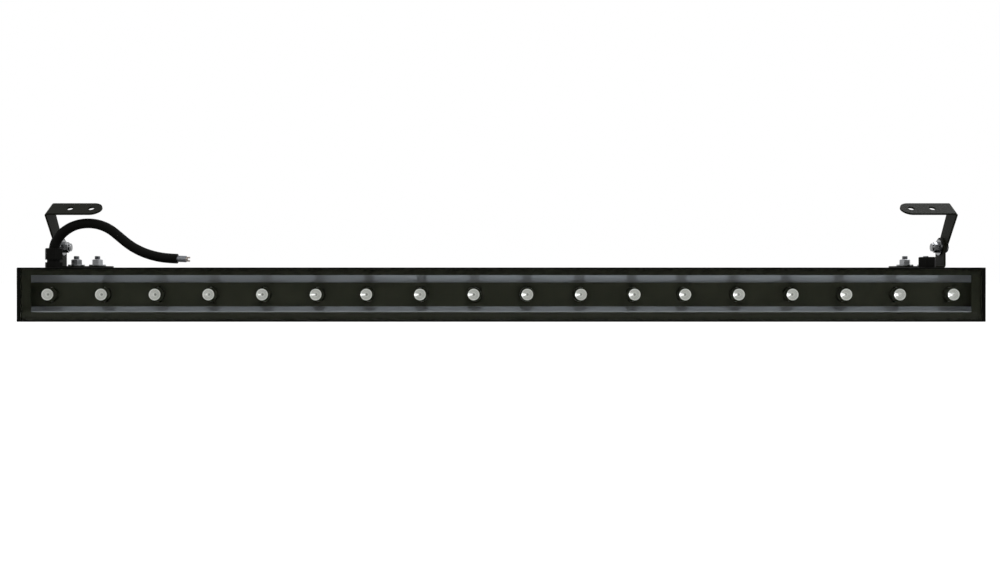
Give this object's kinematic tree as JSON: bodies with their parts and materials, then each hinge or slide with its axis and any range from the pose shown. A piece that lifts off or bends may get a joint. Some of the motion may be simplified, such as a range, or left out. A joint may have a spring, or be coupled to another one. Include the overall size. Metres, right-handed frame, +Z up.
{
  "type": "led linear wall washer light",
  "caption": "Long black sealed bar light with a row of lenses behind glass, two tilting brackets on top, a cable gland with a short lead and a breather plug.",
  "frame": {"origin": "middle of the underside of the housing", "axes": "+X along the light, seen from the front to the right; +Y from the glass to the fins; +Z up"},
  "size_m": [1, 0.06, 0.1241],
  "materials": {
    "body_black": "satin black powder coat on extruded aluminium",
    "bracket_black": "satin black powder coat on steel strip",
    "clear_glass": "clear toughened",
    "border_ink": "black print on the back of the glass",
    "seal_rubber": "matte black silicone",
    "bare_aluminium": "satin bare metal",
    "black_plastic": "matte black moulding",
    "lens_plastic": "frosted clear acrylic",
    "board": "white solder mask on a metal core",
    "led": "ceramic package with phosphor",
    "steel": "zinc plated",
    "circuit_board": "green glass laminate",
    "ferrite": "dark ferrite core with taped winding",
    "can": "sleeved can",
    "terminal": "white moulding",
    "gland_black": "black nylon",
    "jacket_rubber": "black rubber jacket",
    "core_grey": "grey core insulation",
    "copper": "tinned copper strands"
  },
  "bodies": {
    "lamp": {"housing": "body_black", "front_glass": "clear_glass", "glass_border": "border_ink", "glass_gasket": "seal_rubber", "reflector_tray": "bare_aluminium", "mask_strip": "black_plastic", "board_screws": "steel", "board_links": "terminal", "driver_board": "circuit_board", "driver_standoffs": "steel", "driver_screws": "steel", "driver_transformer": "ferrite", "driver_capacitors": "can", "terminal_block": "terminal", "supply_leads": "core_grey", "led_feed_leads": "core_grey", "gland_body": "gland_black", "gland_nut": "gland_black", "gland_seal": "seal_rubber", "breather_plug": "gland_black", "breather_seal": "seal_rubber", "lead_cable": "jacket_rubber", "lead_cores": "core_grey", "lead_strands": "copper", "led_board_left": "board", "leds_left": "led", "lens_holders_left": "black_plastic", "lenses_left": "lens_plastic", "led_board_middle": "board", "leds_middle": "led", "lens_holders_middle": "black_plastic", "lenses_middle": "lens_plastic", "led_board_right": "board", "leds_right": "led", "lens_holders_right": "black_plastic", "lenses_right": "lens_plastic", "end_cap_left": "body_black", "end_gasket_left": "seal_rubber", "end_cap_screws_left": "steel", "foot_left": "bracket_black", "foot_studs_left": "steel", "foot_washers_left": "steel", "foot_nuts_left": "steel", "pivot_bolt_left": "steel", "pivot_washer_left": "steel", "pivot_nut_left": "steel", "end_cap_right": "body_black", "end_gasket_right": "seal_rubber", "end_cap_screws_right": "steel", "foot_right": "bracket_black", "foot_studs_right": "steel", "foot_washers_right": "steel", "foot_nuts_right": "steel", "pivot_bolt_right": "steel", "pivot_washer_right": "steel", "pivot_nut_right": "steel"},
    "left_arm": {"arm_left": "bracket_black"},
    "right_arm": {"arm_right": "bracket_black"}
  },
  "joints": [
    {"name": "left_arm_tilt", "type": "hinge", "parent": "lamp", "child": "left_arm", "pos_m": [-0.4733, 0.012, 0.0781], "axis": [1, 0, 0], "range_deg": [-124.5, 25]},
    {"name": "right_arm_tilt", "type": "hinge", "parent": "lamp", "child": "right_arm", "pos_m": [0.4733, 0.012, 0.0781], "axis": [1, 0, 0], "range_deg": [-124.5, 55.5]}
  ]
}
